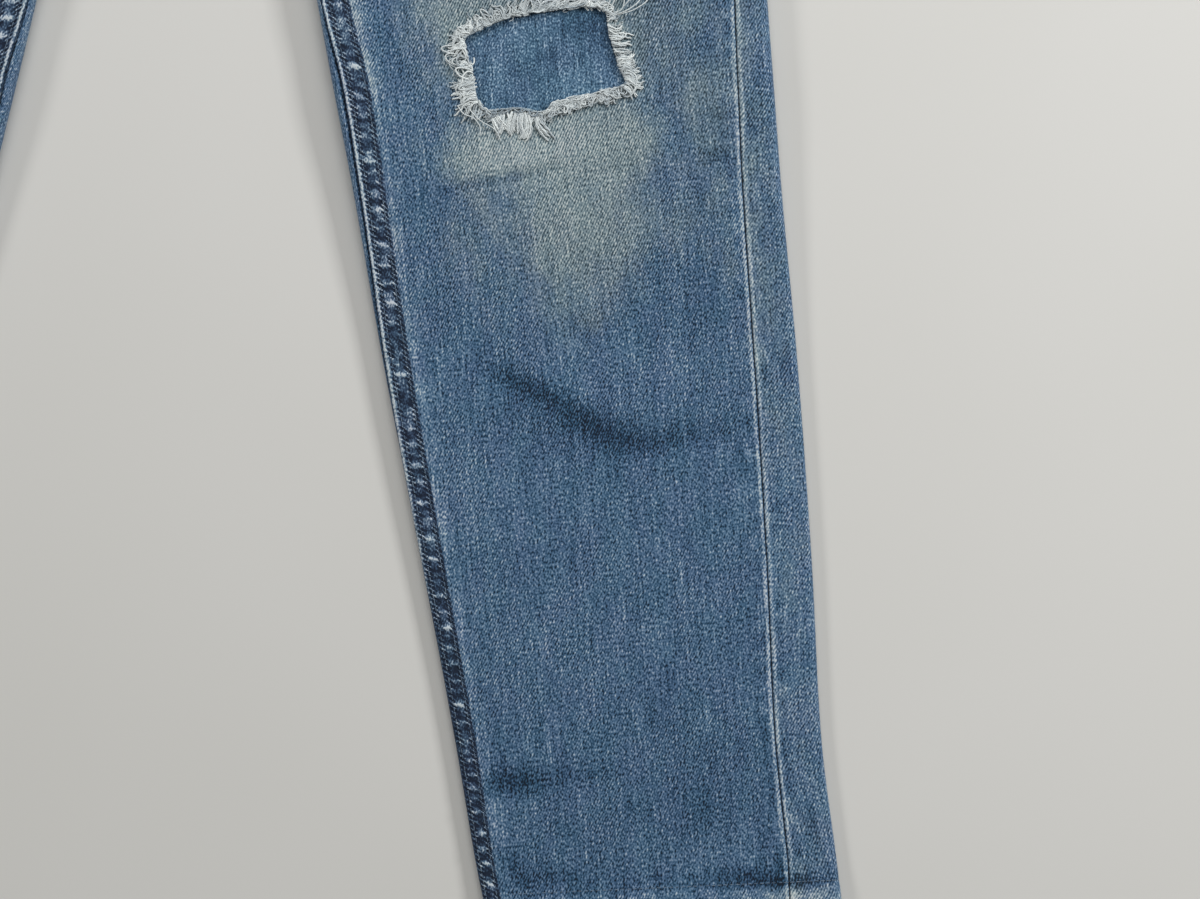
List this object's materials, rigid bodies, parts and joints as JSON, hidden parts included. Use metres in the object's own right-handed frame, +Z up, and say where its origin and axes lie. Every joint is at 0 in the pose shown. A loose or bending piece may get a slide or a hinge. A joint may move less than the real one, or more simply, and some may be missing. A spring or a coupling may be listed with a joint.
{
  "type": "ripped jeans",
  "caption": "Tapered denim jeans laid flat, front up, with a frayed rip over the left knee that shows a patch behind it.",
  "frame": {"origin": "centre of the garment's footprint, on the surface that it lies on", "axes": "+X towards the wearer's left leg, +Y towards the waist, +Z up, out of the front of the garment"},
  "size_m": [0.66, 1.027, 0.0135],
  "materials": {
    "denim": "washed blue twill, matte",
    "dark_denim": "darker denim, matte",
    "frayed_cotton": "loose off-white cotton yarn, matte",
    "aged_metal": "aged metal, satin"
  },
  "bodies": {
    "root": {"back_left": "denim", "back_pocket_left": "denim", "back_pocket_right": "denim", "back_right": "denim", "belt_loop_back_centre": "denim", "belt_loop_back_left": "denim", "belt_loop_back_right": "denim", "belt_loop_front_left": "denim", "belt_loop_front_right": "denim", "button": "aged_metal", "front_left": "denim", "front_right": "denim", "hem_left": "denim", "hem_right": "denim", "knee_fray": "frayed_cotton", "knee_patch": "dark_denim", "pocket_facing_left": "dark_denim", "pocket_facing_right": "dark_denim", "waistband": "denim", "yoke_left": "denim", "yoke_right": "denim", "zip": "dark_denim"}
  },
  "joints": []
}
